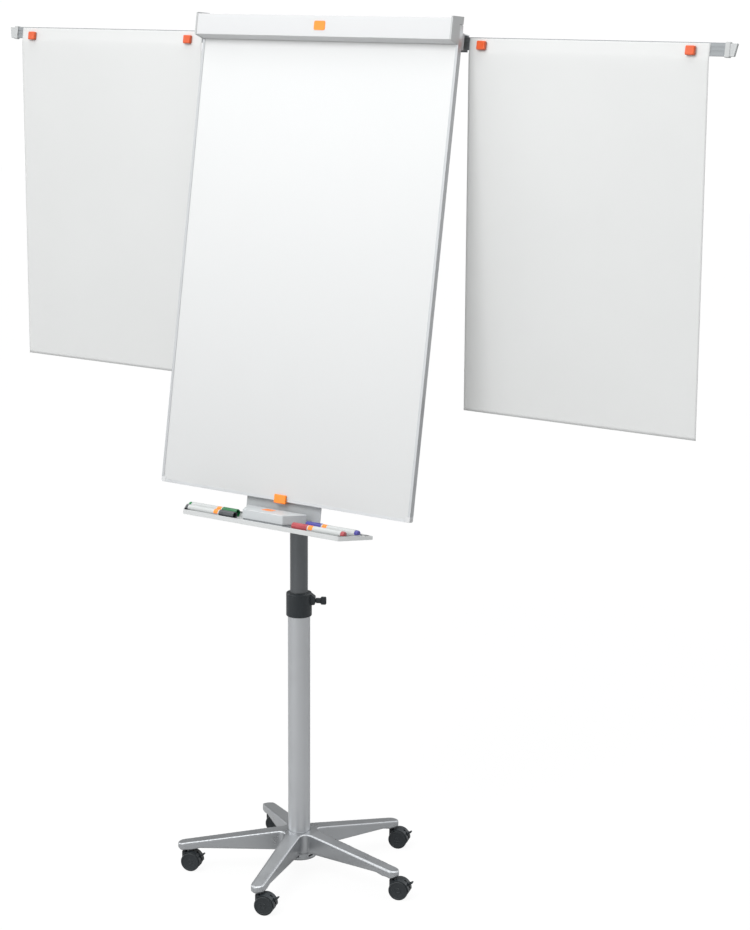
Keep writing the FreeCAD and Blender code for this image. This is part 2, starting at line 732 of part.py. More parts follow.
def marker(x0, x1, s):
    """Barrel with an end plug at x0 and a cap at x1."""
    sign = 1 if x1 > x0 else -1
    l = TRAY_T + MARKER_R
    cap_at = x1 - sign * MARKER_CAP
    barrel = rod(MARKER_R - 0.8, (x0 + sign * 5, s, l), (cap_at + sign * 2, s, l))
    plug = rod(MARKER_R - 1.6, (x0, s, l), (x0 + sign * 6, s, l))
    cap = rod(MARKER_R, (cap_at, s, l), (x1, s, l))
    far = [e for e in cap.Edges if e.Closed and abs(e.BoundBox.Center.x - x1) < 0.1]
    cap = cap.makeFillet(1.5, far)
    return to_tray(join([plug, barrel, cap]))


# ---- write every piece ----------------------------------------------------------------------

def main():
    save("star_base", star_base())
    save("castor_stems", castor_stems())
    hood, wheels, brake = castor_hood(), castor_wheels(), castor_brake()
    for k in range(ARM_COUNT):
        save("castor_%d_hood" % (k + 1), to_castor(hood, k))
        save("castor_%d_wheels" % (k + 1), to_castor(wheels, k))
        save("castor_%d_brake" % (k + 1), to_castor(brake, k))

    save("column_lower", column_lower())
    save("guide_bush", guide_bush())
    save("collar", collar())
    save("clamp_lever", clamp_lever())
    save("mast_foot", mast_foot())
    save("column_upper", column_upper())

    save("head_bracket", head_bracket())
    save("board_bracket", board_bracket())
    save("pivot_pin", pivot_pin())
    save("tilt_knob", tilt_knob())
    save("back_plate", back_plate())

    save("frame_sides", frame_sides())
    save("frame_top", frame_top())
    save("frame_bottom", frame_bottom())
    save("corner_caps", corner_caps())
    save("panel_face", panel(LIP_T, LIP_T + 0.5))
    save("panel_core", panel(LIP_T + 0.5, BOARD_T - LIP_T))
    save("pad_clip", pad_clip())

    save("clamp_rail", clamp_rail())
    save("clamp_bar", clamp_bar())
    save("clamp_ends", clamp_ends())
    save("badge", badge())
    save("peg_left", pad_peg(-PEG_X))
    save("peg_right", pad_peg(PEG_X))

    save("arm_housing", arm_housing())
    save("arm_guides", arm_guides())
    save("arm_left", pull_arm(LEFT_END + 15.5, -INNER_END, LEFT_D))
    save("arm_right", pull_arm(INNER_END, RIGHT_END - 15.5, RIGHT_D))
    save("arm_cap_left", arm_cap(LEFT_END, -1, LEFT_D))
    save("arm_cap_right", arm_cap(RIGHT_END, 1, RIGHT_D))
    save("sheet_left", hung_sheet(LEFT_SHEET_X, LEFT_SHEET_Z, LEFT_D))
    save("sheet_right", hung_sheet(RIGHT_SHEET_X, RIGHT_SHEET_Z, RIGHT_D))
    save("magnets_left", magnet_pair((-893, -407.4), LEFT_D, 1010.5))
    save("magnets_right", magnet_pair((378.6, 866.7), RIGHT_D, 1014.5))

    save("tray", tray())
    save("eraser_body", eraser_body())
    save("eraser_felt", to_tray(eraser(TRAY_T, 10.0, 1.5)))
    save("eraser_label", to_tray(eraser_label_solid()))
    save("marker_black", marker(-219.5, -219.5 + MARKER_L, 17.7))
    save("marker_green", marker(-237, -237 + MARKER_L, 50.5))
    save("marker_red", marker(219.5, 219.5 - MARKER_L, 19.0))
    save("marker_blue", marker(231, 231 - MARKER_L, 54.0))


main()
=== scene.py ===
"""Looks of a mobile flipchart easel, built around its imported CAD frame.

Metres, in the frame's own axes: +Z up, the board faces -Y, +X to the right of somebody who looks at it.
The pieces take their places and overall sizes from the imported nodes, joints and mounts.
"""

import json
import math

import bmesh
import bpy
from mathutils import Matrix, Vector, noise


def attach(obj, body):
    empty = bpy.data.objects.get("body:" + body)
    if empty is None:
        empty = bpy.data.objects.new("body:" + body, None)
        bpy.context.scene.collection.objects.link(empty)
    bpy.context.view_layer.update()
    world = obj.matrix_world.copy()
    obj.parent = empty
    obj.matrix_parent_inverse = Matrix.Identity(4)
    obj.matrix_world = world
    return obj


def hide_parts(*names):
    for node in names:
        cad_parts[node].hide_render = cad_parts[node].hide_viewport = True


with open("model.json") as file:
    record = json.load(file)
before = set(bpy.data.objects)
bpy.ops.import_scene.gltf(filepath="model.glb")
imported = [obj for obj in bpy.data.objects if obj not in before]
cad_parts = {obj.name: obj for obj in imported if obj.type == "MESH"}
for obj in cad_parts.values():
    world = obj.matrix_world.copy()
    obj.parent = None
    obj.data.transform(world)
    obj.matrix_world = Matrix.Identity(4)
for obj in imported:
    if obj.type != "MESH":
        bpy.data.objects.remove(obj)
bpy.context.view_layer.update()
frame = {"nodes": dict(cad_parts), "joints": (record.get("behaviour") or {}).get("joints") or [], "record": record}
NODES = frame["nodes"]
JOINTS = {j["name"]: j for j in frame["joints"]}
MOUNTS = {m["name"]: m for m in frame["record"]["mounts"]}
SLOTS = {p["node"]: p["material_slot"] for p in frame["record"]["subparts"]}
CASTORS = range(1, 6)
MM = 0.001


# ---- axes -----------------------------------------------------------------------------------

class Axes:
    """Right-handed axes with an origin; x and z are given, and y is z cross x."""

    def __init__(self, x, z, origin=(0, 0, 0)):
        self.x = Vector(x).normalized()
        self.z = Vector(z).normalized()
        self.y = self.z.cross(self.x)
        turn = Matrix((self.x, self.y, self.z)).transposed().to_4x4()
        self.matrix = Matrix.Translation(Vector(origin)) @ turn

    def points(self, node):
        inverse = self.matrix.inverted()
        return [inverse @ v.co for v in NODES[node].data.vertices]

    def span(self, node):
        """Lowest and highest corner of a CAD node along these axes."""
        return span_of(self.points(node))

    def islands(self, node, gap):
        """Spans of a node's separate parts, told apart by gaps along x."""
        groups = []
        for p in sorted(self.points(node), key=lambda p: p.x):
            if not groups or p.x - groups[-1][-1].x > gap:
                groups.append([])
            groups[-1].append(p)
        return [span_of(g) for g in groups]


def span_of(points):
    low = Vector([min(p[i] for p in points) for i in range(3)])
    high = Vector([max(p[i] for p in points) for i in range(3)])
    return low, high


out_of_board = Vector(MOUNTS["peg_left_pin"]["axis"])
WORLD = Axes((1, 0, 0), (0, 0, 1))
BOARD = Axes((1, 0, 0), (0, out_of_board.z, -out_of_board.y))
TRAY = Axes((1, 0, 0), JOINTS["eraser_lift"]["axis"])


def castor_axes(k):
    stem = JOINTS["castor_%d_swivel" % k]["pos_m"]
    axle = Vector(JOINTS["castor_%d_roll" % k]["axis"])
    return Axes(axle.cross(Vector((0, 0, 1))), (0, 0, 1), (stem[0], stem[1], 0))


# ---- materials ------------------------------------------------------------------------------

class Paint:
    """The node tree of a material or of the world, built with short calls."""

    def __init__(self, owner):
        owner.use_nodes = True
        self.owner = owner
        self.tree = owner.node_tree
        self.tree.nodes.clear()

    @classmethod
    def named(cls, name):
        return cls(bpy.data.materials.new(name))

    def add(self, kind, settings=None, **inputs):
        made = self.tree.nodes.new(kind)
        for key, value in (settings or {}).items():
            setattr(made, key, value)
        for key, value in inputs.items():
            name = key.replace("_", " ")
            socket = made.inputs[int(name)] if name.isdigit() else made.inputs[name]
            if isinstance(value, bpy.types.NodeSocket):
                self.tree.links.new(value, socket)
            else:
                socket.default_value = value
        return made

    def place(self, axes, scale):
        """Object coordinates turned to the given axes and scaled."""
        seen = self.add("ShaderNodeTexCoord").outputs["Object"]
        turn = axes.matrix.to_euler()
        local = self.add("ShaderNodeMapping", {"vector_type": "TEXTURE"}, Vector=seen, Rotation=turn)
        return self.add("ShaderNodeMapping", Vector=local.outputs[0], Scale=scale).outputs[0]

    def noise(self, where, scale, detail=3.0, rough=0.55):
        made = self.add("ShaderNodeTexNoise", Vector=where, Scale=scale, Detail=detail, Roughness=rough)
        return made.outputs["Fac"]

    def remap(self, value, low, high, start=0.3, end=0.7):
        made = self.add("ShaderNodeMapRange")
        self.tree.links.new(value, made.inputs["Value"])
        made.inputs["From Min"].default_value = start
        made.inputs["From Max"].default_value = end
        made.inputs["To Min"].default_value = low
        made.inputs["To Max"].default_value = high
        return made.outputs["Result"]

    def math(self, operation, first, second):
        return self.add("ShaderNodeMath", {"operation": operation}, **{"0": first, "1": second}).outputs[0]

    def blend(self, share, first, second):
        made = self.add("ShaderNodeMix", {"data_type": "RGBA"})
        for socket, value in ((0, share), (6, first), (7, second)):
            if isinstance(value, bpy.types.NodeSocket):
                self.tree.links.new(value, made.inputs[socket])
            else:
                made.inputs[socket].default_value = value
        return made.outputs[2]

    def edges(self, radius):
        """A mask that is 1 on sharp edges and 0 elsewhere."""
        soft = self.add("ShaderNodeBevel", {"samples": 4}, Radius=radius).outputs[0]
        true = self.add("ShaderNodeNewGeometry").outputs["Normal"]
        dot = self.add("ShaderNodeVectorMath", {"operation": "DOT_PRODUCT"})
        self.tree.links.new(soft, dot.inputs[0])
        self.tree.links.new(true, dot.inputs[1])
        return self.remap(dot.outputs["Value"], 1.0, 0.0, 0.80, 0.995)

    def end(self, shader):
        self.add("ShaderNodeOutputMaterial", Surface=shader)
        return self.owner


def shade(rgb, factor):
    return tuple(min(1.0, c * factor) for c in rgb) + (1.0,)


def surface(name, rgb, rough, metal=0.0, axes=WORLD, mottle=0.06, mottle_scale=14.0, grain=900.0,
            depth=0.15, streak=None, wear=0.0, coat=0.0, sheen=0.0, see_through=0.0, specular=0.5,
            painted_top_light=None):
    """The shared recipe: tint that drifts, fine relief or drawn lines, uneven gloss and paler edges.

    The painted-light argument is a node's name and a share: the tint rises by that share towards the node's top
    and sinks by it towards the bottom, a painted highlight that stands in for light from above.
    """
    paint = Paint.named(name)
    cloud = paint.noise(paint.place(axes, (1, 1, 1)), mottle_scale)
    fine_scale = (1, 1, 1) if streak is None else streak
    fine = paint.noise(paint.place(axes, fine_scale), grain, 2.0, 0.6)
    tint = paint.blend(paint.remap(cloud, 0.0, 1.0), shade(rgb, 1.0 - mottle), shade(rgb, 1.0 + mottle))
    tint = paint.blend(paint.remap(fine, 0.0, 0.5), tint, shade(rgb, 1.0 - 1.5 * mottle))
    # Painted light: the tint is made lighter towards the node's top and darker towards its bottom, in place of
    # light falling from above.
    if painted_top_light:
        node, amount = painted_top_light
        low, high = axes.span(node)
        height = paint.add("ShaderNodeSeparateXYZ", Vector=paint.place(axes, (1, 1, 1))).outputs["Z"]
        share = paint.remap(height, 1.0 - amount, 1.0 + amount, low.z, high.z)
        scaled = paint.add("ShaderNodeVectorMath", {"operation": "SCALE"}, **{"0": tint, "Scale": share})
        tint = scaled.outputs[0]
    if wear:
        share = paint.remap(paint.edges(0.8 * MM), 0.0, wear, 0.0, 1.0)
        tint = paint.blend(share, tint, shade([0.5 + 0.5 * c for c in rgb], 1.0))
    gloss = paint.remap(cloud, rough * 0.88, min(1.0, rough * 1.14))
    bump = paint.add("ShaderNodeBump", Height=fine, Strength=depth, Distance=0.2 * MM)
    body = paint.add("ShaderNodeBsdfPrincipled", Base_Color=tint, Roughness=gloss, Metallic=metal,
                     Normal=bump.outputs[0])
    body.inputs["Specular IOR Level"].default_value = specular
    body.inputs["Coat Weight"].default_value = coat
    body.inputs["Coat Roughness"].default_value = 0.12
    body.inputs["Sheen Weight"].default_value = sheen
    shader = body.outputs[0]
    if see_through:
        glow = paint.add("ShaderNodeBsdfTranslucent", Color=shade(rgb, 1.0)).outputs[0]
        mixed = paint.add("ShaderNodeMixShader", Fac=see_through)
        paint.tree.links.new(shader, mixed.inputs[1])
        paint.tree.links.new(glow, mixed.inputs[2])
        shader = mixed.outputs[0]
    return paint.end(shader)


ALONG_X = (0.02, 1, 1)
ALONG_Z = (1, 1, 0.02)

LOOKS = {
    "die_cast": surface("cast_silver", (0.44, 0.452, 0.466), 0.30, 0.90, mottle=0.02, grain=1500,
                        depth=0.02, wear=0.08),
    "black_steel": surface("black_steel", (0.03, 0.03, 0.034), 0.4, 0.6),
    "silver_tube": surface("silver_powder", (0.55, 0.562, 0.578), 0.34, 0.86, mottle=0.025, grain=1600,
                           depth=0.15),
    "black_plastic": surface("black_mould", (0.010, 0.014, 0.017), 0.42, mottle=0.12, grain=1300,
                             depth=0.3, wear=0.05),
    "dark_tube": surface("dark_powder", (0.14, 0.148, 0.155), 0.30, 0.8, mottle=0.04, grain=1600,
                         depth=0.2),
    "dark_cast": surface("dark_cast", (0.09, 0.095, 0.10), 0.5, 0.2, mottle=0.08, grain=1100,
                         depth=0.5, wear=0.1),
    "bright_steel": surface("zinc", (0.55, 0.55, 0.56), 0.28, 1.0, streak=ALONG_X, grain=2500,
                            depth=0.2),
    "grey_plate": surface("plate_grey", (0.42, 0.435, 0.445), 0.45, 0.2, BOARD, grain=1400,
                          depth=0.3, wear=0.1),
    "frame_aluminium": surface("frame_anodised", (0.55, 0.56, 0.57), 0.34, 0.8, BOARD, 0.03,
                               streak=ALONG_X, grain=3000, depth=0.25),
    "light_plastic": surface("light_mould", (0.43, 0.44, 0.44), 0.42, mottle=0.04, grain=1200,
                             depth=0.3),
    # The board's enamel gets painted light: lighter towards its top, darker towards its bottom.
    "white_enamel": surface("white_enamel", (0.60, 0.605, 0.605), 0.42, 0.0, BOARD, 0.010, 3.0,
                            grain=350, depth=0.03, specular=0.3, painted_top_light=("panel_face", 0.10)),
    "board_core": surface("core_back", (0.55, 0.55, 0.54), 0.6, 0.0, BOARD, 0.05, 9.0, grain=700,
                          depth=0.4),
    "orange_plastic": surface("orange_mould", (1.0, 0.245, 0.018), 0.32, mottle=0.03, grain=1200,
                              depth=0.15, coat=0.2),
    "bar_white": surface("bar_white", (0.56, 0.565, 0.57), 0.45, 0.0, BOARD, 0.012, grain=1500,
                         depth=0.15),
    "arm_aluminium": surface("arm_anodised", (0.25, 0.262, 0.27), 0.35, 0.8, BOARD, 0.04,
                             streak=ALONG_X, grain=3000, depth=0.3),
    "paper": surface("paper", (0.69, 0.695, 0.69), 0.75, 0.0, WORLD, 0.012, 5.0, grain=1800,
                     depth=0.2, see_through=0.15, specular=0.2),
    "magnet_orange": surface("magnet_orange", (0.58, 0.075, 0.008), 0.3, mottle=0.05, grain=1200,
                             depth=0.12, coat=0.3),
    "tray_plastic": surface("tray_mould", (0.54, 0.55, 0.55), 0.4, mottle=0.03, grain=1200,
                            depth=0.35, wear=0.1),
    "eraser_grey": surface("eraser_mould", (0.49, 0.51, 0.52), 0.42, mottle=0.03, grain=1300,
                           depth=0.3, wear=0.1),
    "felt": surface("felt", (0.33, 0.345, 0.36), 0.95, mottle=0.25, mottle_scale=260, grain=900,
                    depth=1.0, sheen=0.3),
    "wheel_black": surface("wheel_black", (0.015, 0.019, 0.022), 0.40, mottle=0.15, grain=1000,
                           depth=0.3),
    "barrel": surface("marker_barrel", (0.48, 0.495, 0.49), 0.35, mottle=0.02, grain=1400,
                      depth=0.1, coat=0.2),
    "ink_black": surface("cap_grey", (0.055, 0.06, 0.065), 0.35, mottle=0.1, depth=0.15, coat=0.2),
    "ink_green": surface("cap_green", (0.012, 0.15, 0.045), 0.32, mottle=0.1, depth=0.15, coat=0.2),
    "ink_red": surface("cap_red", (0.36, 0.05, 0.06), 0.32, mottle=0.1, depth=0.15, coat=0.2),
    "ink_blue": surface("cap_blue", (0.05, 0.045, 0.27), 0.32, mottle=0.1, depth=0.15, coat=0.2),
}
GUIDE_GREY = surface("guide_mould", (0.40, 0.41, 0.42), 0.4, mottle=0.06, grain=1300, depth=0.3, wear=0.05)
SIDE_METAL = surface("frame_anodised_upright", (0.47, 0.48, 0.49), 0.34, 0.85, BOARD, 0.03, streak=ALONG_Z,
                     grain=3000, depth=0.25)


# ---- mesh helpers ---------------------------------------------------------------------------

def add_piece(name, mesh_maker, axes, body, slot):
    """A new object whose mesh is in the given axes."""
    shape = bmesh.new()
    mesh_maker(shape)
    bmesh.ops.recalc_face_normals(shape, faces=shape.faces[:])
    mesh = bpy.data.meshes.new(name)
    shape.to_mesh(mesh)
    shape.free()
    for face in mesh.polygons:
        face.use_smooth = True
    mesh.materials.append(LOOKS[slot])
    piece = bpy.data.objects.new(name, mesh)
    bpy.context.scene.collection.objects.link(piece)
    piece.matrix_world = axes.matrix
    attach(piece, body)
    return piece


def add_bevel(piece, width, angle=30):
    bevel = piece.modifiers.new("bevel", "BEVEL")
    bevel.width = width
    bevel.segments = 2
    bevel.limit_method = "ANGLE"
    bevel.angle_limit = math.radians(angle)
    bevel.harden_normals = True
    bevel.use_clamp_overlap = True


def lathe(profile, along, centre, segments):
    """Makes a mesh maker that turns (distance along, radius) points about an axis: 'x', 'y' or 'z'."""
    def place(t, r, a):
        u, v = r * math.cos(a), r * math.sin(a)
        local = {"x": (t, u, v), "y": (v, t, u), "z": (u, v, t)}[along]
        return Vector(centre) + Vector(local)

    def make(shape):
        rings = []
        for t, r in profile:
            if r < 1e-7:
                rings.append([shape.verts.new(place(t, 0, 0))])
                continue
            angles = [2 * math.pi * i / segments for i in range(segments)]
            rings.append([shape.verts.new(place(t, r, a)) for a in angles])
        for a, b in zip(rings, rings[1:]):
            for i in range(segments):
                j = (i + 1) % segments
                corners = [a[i % len(a)], a[j % len(a)], b[j % len(b)], b[i % len(b)]]
                unique = list(dict.fromkeys(corners))
                if len(unique) > 2:
                    shape.faces.new(unique)
    return make


def several(*makers):
    def make(shape):
        for one in makers:
            one(shape)
    return make


def rounded_corner(t, r, radius, turn_from, turn_to, steps=4):
    """Profile points around a corner; the angles are measured from +t towards +r."""
    points = []
    for i in range(steps + 1):
        a = math.radians(turn_from + (turn_to - turn_from) * i / steps)
        points.append((t + radius * math.cos(a), r + radius * math.sin(a)))
    return points


def pillow(low, high, corner, dish=0.0, cells=14):
    """A block with round corners. Its -y face is dished for a finger."""
    centre = (low + high) / 2
    half = (high - low) / 2

    def make(shape):
        bmesh.ops.create_cube(shape, size=2.0)
        bmesh.ops.subdivide_edges(shape, edges=shape.edges[:], cuts=cells, use_grid_fill=True)
        for v in shape.verts:
            p = Vector((v.co.x * half.x, v.co.y * half.y, v.co.z * half.z))
            inner = Vector([max(-half[i] + corner, min(half[i] - corner, p[i])) for i in range(3)])
            away = p - inner
            if away.length > 1e-9:
                p = inner + away.normalized() * min(away.length, corner)
            front = max(0.0, -v.co.y)
            dome = (1 - v.co.x ** 2) * (1 - v.co.z ** 2)
            p.y += front * dish * dome
            v.co = centre + p
    return make


# ---- CAD nodes that keep their shape --------------------------------------------------------

def dress(node, material, bevel):
    """Gives a CAD node its material, merged faces and softened edges; a plate with no bevel stays flat."""
    piece = NODES[node]
    mesh = piece.data
    if "custom_normal" in mesh.attributes:
        mesh.attributes.remove(mesh.attributes["custom_normal"])
    for face in mesh.polygons:
        face.use_smooth = bevel > 0
    mesh.materials.clear()
    mesh.materials.append(material)
    weld = piece.modifiers.new("weld", "WELD")
    weld.merge_threshold = 0.002 * MM
    flat = piece.modifiers.new("flat", "DECIMATE")
    flat.decimate_type = "DISSOLVE"
    flat.angle_limit = math.radians(0.3)
    if bevel:
        add_bevel(piece, bevel)


BEVELS = {
    "star_base": 0,
    "column_lower": 0.5 * MM,
    "column_upper": 0.5 * MM,
    "clamp_bar": 0.5 * MM,
    "clamp_ends": 0.8 * MM,
    "tray": 0.6 * MM,
    "eraser_body": 1.0 * MM,
    "pad_clip": 0.6 * MM,
    "corner_caps": 0.5 * MM,
    "back_plate": 0.4 * MM,
    "panel_face": 0,
    "panel_core": 0,
    "pivot_pin": 0.4 * MM,
}

OWN_LOOKS = {"frame_sides": SIDE_METAL, "arm_guides": GUIDE_GREY, "corner_caps": LOOKS["bar_white"]}

for node_name, slot_name in SLOTS.items():
    look = OWN_LOOKS.get(node_name, LOOKS[slot_name])
    dress(node_name, look, BEVELS.get(node_name, 0.3 * MM))


# ---- star base ------------------------------------------------------------------------------

def remeshed(node, name, cell):
    """A new object with a node's shape in an even mesh of small faces."""
    shape = bmesh.new()
    shape.from_mesh(NODES[node].data)
    bmesh.ops.remove_doubles(shape, verts=shape.verts, dist=0.002 * MM)
    mesh = bpy.data.meshes.new(name)
    shape.to_mesh(mesh)
    shape.free()
    piece = bpy.data.objects.new(name, mesh)
    bpy.context.scene.collection.objects.link(piece)
    remesh = piece.modifiers.new("remesh", "REMESH")
    remesh.mode = "VOXEL"
    remesh.voxel_size = cell
    apply_modifiers(piece)
    return piece


def apply_modifiers(piece):
    bpy.context.view_layer.update()
    graph = bpy.context.evaluated_depsgraph_get()
    fine = bpy.data.meshes.new_from_object(piece.evaluated_get(graph))
    piece.modifiers.clear()
    piece.data = fine


def ramp(value, start, end):
    return max(0.0, min(1.0, (value - start) / (end - start)))


BASE_CELL = 1.6 * MM
RELAX_ROUNDS = 18
LEAST_RELAXED = 0.4


def cast_base():
    """The CAD base relaxed into a casting: broad round edges above, crisper ones below and at the mast."""
    piece = remeshed("star_base", "cast_base", BASE_CELL)
    low = WORLD.span("star_base")[0]
    column = WORLD.span("column_lower")[1].x
    relaxed = piece.vertex_groups.new(name="relaxed")
    for v in piece.data.vertices:
        above = ramp(v.co.z, low.z + 16 * MM, low.z + 24 * MM)
        clear = ramp(v.co.xy.length, column + 2 * MM, column + 7 * MM)
        share = LEAST_RELAXED + (1.0 - LEAST_RELAXED) * above * clear
        relaxed.add([v.index], share, "REPLACE")
    smooth = piece.modifiers.new("relax", "SMOOTH")
    smooth.factor = 0.5
    smooth.iterations = RELAX_ROUNDS
    smooth.vertex_group = "relaxed"
    apply_modifiers(piece)
    for face in piece.data.polygons:
        face.use_smooth = True
    piece.data.materials.clear()
    piece.data.materials.append(LOOKS["die_cast"])
    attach(piece, "base")
    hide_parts("star_base")


cast_base()


# ---- castor wheels --------------------------------------------------------------------------

def wheel_half(axle, radius, inner, outer, side):
    """One tread disc: rounded tyre edge, a dished face with a raised hub, and a hollow inside."""
    tyre = 2.2 * MM
    profile = [
        (outer - 1.0 * MM, 0),
        (outer - 1.0 * MM, 3.6 * MM),
        (outer - 0.5 * MM, 4.2 * MM),
        (outer - 0.5 * MM, 5.6 * MM),
        (outer - 1.6 * MM, 6.4 * MM),
        (outer - 1.3 * MM, 11.5 * MM),
        (outer - 0.9 * MM, 16.6 * MM),
        (outer - 0.9 * MM, 17.4 * MM),
        (outer - 0.1 * MM, 17.9 * MM),
    ]
    profile += rounded_corner(outer - tyre, radius - tyre, tyre, 0, 90)
    profile += rounded_corner(inner + tyre * 0.7, radius - tyre * 0.7, tyre * 0.7, 90, 180)
    well = inner + 4.5 * MM
    profile += [(inner, 18.3 * MM), (well, 17.8 * MM), (well, 6.2 * MM), (inner, 5.8 * MM)]
    profile += [(inner, 3.0 * MM), (0, 3.0 * MM)]
    return lathe([(side * t, r) for t, r in profile], "y", axle, 64)


def gate_mark(axle, outer, side):
    """The moulding point, a small pip off the middle of the disc."""
    y = side * (outer - 1.35 * MM)
    centre = (axle[0] + 9.0 * MM, axle[1] + y, axle[2])
    pip = [(side * 0.35 * MM, 0), (side * 0.35 * MM, 0.7 * MM), (-side * 0.3 * MM, 1.1 * MM)]
    return lathe(pip, "y", centre, 16)


for k in CASTORS:
    axes = castor_axes(k)
    low, high = axes.span("castor_%d_wheels" % k)
    axle = Vector(((low.x + high.x) / 2, 0, (low.z + high.z) / 2))
    makers = []
    for side in (-1, 1):
        makers.append(wheel_half(axle, (high.x - low.x) / 2, 5.2 * MM, high.y, side))
        makers.append(gate_mark(axle, high.y, side))
    wheels = add_piece("wheel_pair_%d" % k, several(*makers), axes, "wheels_%d" % k, "wheel_black")
    add_bevel(wheels, 0.15 * MM, 35)
    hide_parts("castor_%d_wheels" % k)


# ---- hung paper sheets ----------------------------------------------------------------------

MAGNET_GAP = 50 * MM


def paper_sheet(side, seed):
    """Flat on the arm under its magnets, turning over the arm's lower edge, then plumb with faint waves."""
    node = "sheet_" + side
    arm = "arm_" + side
    low, high = WORLD.span(node)
    arm_low = BOARD.span(arm)[0]
    sheet_high = BOARD.span(node)[1]
    face = arm_low.y - 0.15 * MM
    start = BOARD.matrix @ Vector((0, face, sheet_high.z))
    tight = BOARD.matrix @ Vector((0, face, arm_low.z + 1.0 * MM))
    lean = BOARD.z.y / BOARD.z.z
    magnets = [(a.x + b.x) / 2 for a, b in BOARD.islands("magnets_" + side, MAGNET_GAP)]
    held = (start - tight).length
    fall = tight.z - low.z
    turn = 9 * MM
    dimple_width = 45 * MM
    dimple_reach = 100 * MM
    columns, rows = 110, 170

    def centre_line(s):
        """Point in the y-z plane at length s from the top edge."""
        if s <= held:
            return start.lerp(tight, s / held)
        down = s - held
        return Vector((0, tight.y - lean * turn * (1 - math.exp(-down / turn)), tight.z - down))

    def wave(x, down):
        """Small waves that die out at the sheet's edges, and a dimple under each magnet."""
        if down <= 0:
            return 0.0
        across = math.sin(math.pi * (x - low.x) / (high.x - low.x))
        along = math.sin(math.pi * min(1.0, down / fall)) ** 0.5
        near = min(abs(x - m) for m in magnets)
        dimple = 0.5 * MM * math.exp(-(near / dimple_width) ** 2) * math.exp(-down / dimple_reach)
        dimple *= ramp(down, 0, 8 * MM)
        folds = noise.noise(Vector((x * 5.5, down * 0.7, seed))) * 1.3 * MM
        broad = noise.noise(Vector((x * 2.1, down * 1.6, seed + 7.0))) * 1.8 * MM
        return across * along * (folds + broad) - dimple

    def make(shape):
        grid = []
        for i in range(rows + 1):
            share = i / rows
            s = (held + fall) * (0.25 * share + 0.75 * share ** 1.5)
            line = []
            for j in range(columns + 1):
                x = low.x + (high.x - low.x) * j / columns
                p = centre_line(s)
                line.append(shape.verts.new((x, p.y + wave(x, s - held), p.z)))
            grid.append(line)
        for a, b in zip(grid, grid[1:]):
            for j in range(columns):
                shape.faces.new((a[j], a[j + 1], b[j + 1], b[j]))

    piece = add_piece("paper_" + side, make, WORLD, arm, "paper")
    solid = piece.modifiers.new("thickness", "SOLIDIFY")
    solid.thickness = 0.22 * MM
    solid.offset = 0.0
    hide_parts(node)


paper_sheet("left", 3.1)
paper_sheet("right", 11.4)


# ---- magnets --------------------------------------------------------------------------------

for side in ("left", "right"):
    node_name = "magnets_" + side
    for number, (low, high) in enumerate(BOARD.islands(node_name, MAGNET_GAP), 1):
        maker = pillow(low, high, 2.6 * MM, dish=0.7 * MM)
        name = "magnet_%s_%d" % (side, number)
        magnet = add_piece(name, maker, BOARD, "arm_" + side, "magnet_orange")
        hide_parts(node_name)


# ---- markers --------------------------------------------------------------------------------

CAP_LENGTH = 41 * MM
CAP_MOUTH = 9 * MM
LABEL_MIDDLE = math.radians(138)
LABEL_HALF = math.radians(52)


def curved_patch(along_from, along_to, radius, centre, middle, half, corner, cells=14):
    """A thin label with rounded corners, bent about x; the angles are from +y towards +z."""
    half_long = (along_to - along_from) / 2
    half_round = half * radius

    def edge(share_long):
        """Half width of the label at a place along it."""
        over = max(0.0, abs(share_long) * half_long - (half_long - corner))
        return half_round - corner + math.sqrt(max(0.0, corner ** 2 - over ** 2))

    def make(shape):
        grid = []
        for i in range(cells + 1):
            share = 2 * i / cells - 1
            t = (along_from + along_to) / 2 + share * half_long
            line = []
            for j in range(cells + 1):
                a = middle + (2 * j / cells - 1) * edge(share) / radius
                offset = Vector((t, radius * math.cos(a), radius * math.sin(a)))
                line.append(shape.verts.new(Vector(centre) + offset))
            grid.append(line)
        for a, b in zip(grid, grid[1:]):
            for j in range(cells):
                shape.faces.new((a[j], a[j + 1], b[j + 1], b[j]))
    return make


